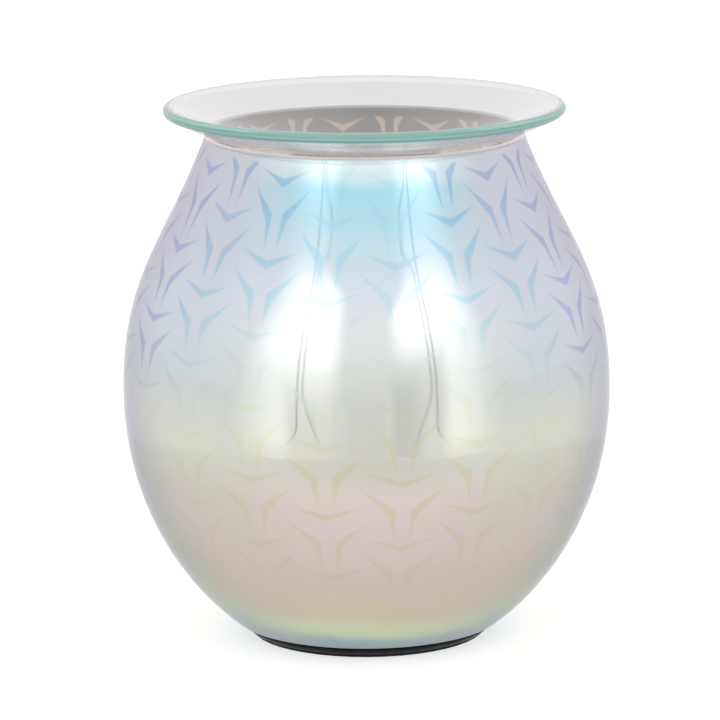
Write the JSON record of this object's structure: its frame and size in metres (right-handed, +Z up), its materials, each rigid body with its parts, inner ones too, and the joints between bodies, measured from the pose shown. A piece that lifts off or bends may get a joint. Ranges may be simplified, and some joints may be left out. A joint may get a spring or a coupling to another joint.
{
  "type": "electric oil burner",
  "caption": "Egg-shaped mirror-coated glass electric oil burner: a reflector bulb inside warms a clear glass dish that rests in the vase's mouth and lifts off.",
  "frame": {"origin": "on the table, under the middle of the base", "axes": "+Z up along the vase's axis, front is -Y, cord inlet at the rear (+Y)"},
  "size_m": [0.135, 0.135, 0.1485],
  "materials": {
    "coated_glass": "silvery pearl coating that mirrors, with an etched geometric pattern",
    "clear_glass": "clear polished",
    "black_gloss": "gloss black",
    "black_matt": "matt black",
    "rubber": "matt",
    "gasket": "matt",
    "steel": "zinc plated",
    "ceramic": "unglazed white",
    "brass": "plain",
    "nylon": "natural",
    "wire_brown": "brown insulation",
    "wire_blue": "blue insulation",
    "bulb_mirror": "pressed glass with a mirror coating"
  },
  "bodies": {
    "base": {"glass_vase": "coated_glass", "base_housing": "black_gloss", "base_cover": "black_matt", "clamp_ring": "black_matt", "foot_pad": "rubber", "lower_gasket": "gasket", "upper_gasket": "gasket", "base_cover_screw_1": "steel", "base_cover_screw_2": "steel", "base_cover_screw_3": "steel", "lamp_bracket": "steel", "bracket_screw_1": "steel", "bracket_screw_2": "steel", "lampholder_screw_1": "steel", "lampholder_screw_2": "steel", "terminal_fixing_screw": "steel", "lampholder_body": "ceramic", "lampholder_back": "ceramic", "contact_spring_1": "brass", "contact_spring_2": "brass", "terminal_screw_1": "brass", "terminal_screw_2": "brass", "terminal_screw_3": "brass", "terminal_screw_4": "brass", "terminal_block": "nylon", "lead_live": "wire_brown", "lead_neutral": "wire_blue"},
    "dish": {"oil_dish": "clear_glass"},
    "bulb": {"bulb_cap": "ceramic", "bulb_pin_1": "steel", "bulb_pin_2": "steel", "bulb_reflector": "bulb_mirror", "bulb_lens": "clear_glass", "bulb_capsule": "clear_glass"}
  },
  "joints": [
    {"name": "dish_lift", "type": "slide", "parent": "base", "child": "dish", "axis": [0, 0, 1], "range_m": [0, 0.08]},
    {"name": "bulb_twist", "type": "hinge", "parent": "base", "child": "bulb", "pos_m": [0, 0, 0.069], "axis": [0, 0, 1], "range_deg": [0, 45]}
  ]
}
